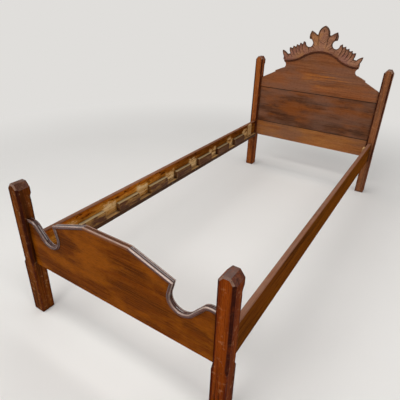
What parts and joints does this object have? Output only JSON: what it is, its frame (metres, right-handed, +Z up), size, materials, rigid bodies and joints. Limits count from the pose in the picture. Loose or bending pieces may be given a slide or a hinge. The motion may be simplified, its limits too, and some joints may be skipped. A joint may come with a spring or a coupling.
{
  "type": "single bed frame",
  "caption": "Antique wooden single bed frame: square posts with clipped tops, carved crest on a shaped headboard, scrolled capped footboard, hook-on side rails with slat blocks.",
  "frame": {"origin": "on the floor below the middle of the frame, halfway between the posts both ways", "axes": "+Y from the foot to the head, +Z up, +X to the right as seen from the foot"},
  "size_m": [0.924, 2.054, 1.057],
  "materials": {
    "post_wood": "aged glossy varnish",
    "rail_wood": "aged glossy varnish",
    "panel_wood": "aged glossy varnish",
    "lower_board_wood": "worn varnish",
    "cap_wood": "aged glossy varnish",
    "crest_wood": "worn carved wood",
    "moulding_wood": "dark varnish",
    "ledger_wood": "stained softwood",
    "block_wood": "stained softwood with bare edges",
    "stop_wood": "bare softwood",
    "hook_iron": "dull black with rust",
    "pin_iron": "dull dark iron",
    "screw_steel": "aged steel"
  },
  "bodies": {
    "root": {"foot_post_left": "post_wood", "foot_post_right": "post_wood", "head_post_left": "post_wood", "head_post_right": "post_wood", "footboard_panel": "panel_wood", "cap_flat": "cap_wood", "cap_slope_left": "cap_wood", "cap_slope_right": "cap_wood", "cap_scroll_left": "cap_wood", "cap_scroll_right": "cap_wood", "cap_end_left": "cap_wood", "cap_end_right": "cap_wood", "headboard_lower_board": "lower_board_wood", "headboard_middle_board": "panel_wood", "headboard_upper_board": "panel_wood", "crest_plate": "crest_wood", "crest_moulding": "moulding_wood", "side_rail_left": "rail_wood", "side_rail_right": "rail_wood", "ledger_left": "ledger_wood", "ledger_right": "ledger_wood", "slat_block_left_1": "block_wood", "slat_block_left_2": "block_wood", "slat_block_left_3": "block_wood", "slat_block_left_4": "block_wood", "slat_block_left_5": "block_wood", "slat_block_left_6": "block_wood", "slat_block_left_7": "block_wood", "slat_block_right_1": "block_wood", "slat_block_right_2": "block_wood", "slat_block_right_3": "block_wood", "slat_block_right_4": "block_wood", "slat_block_right_5": "block_wood", "slat_block_right_6": "block_wood", "slat_block_right_7": "block_wood", "slat_stop_left": "stop_wood", "slat_stop_right": "stop_wood", "hook_plate_foot_left": "hook_iron", "hook_plate_foot_right": "hook_iron", "hook_plate_head_left": "hook_iron", "hook_plate_head_right": "hook_iron", "hook_pins_foot_left": "pin_iron", "hook_pins_foot_right": "pin_iron", "hook_pins_head_left": "pin_iron", "hook_pins_head_right": "pin_iron", "plate_screws": "screw_steel", "ledger_screws_left": "screw_steel", "ledger_screws_right": "screw_steel", "crest_screws": "screw_steel"}
  },
  "joints": []
}
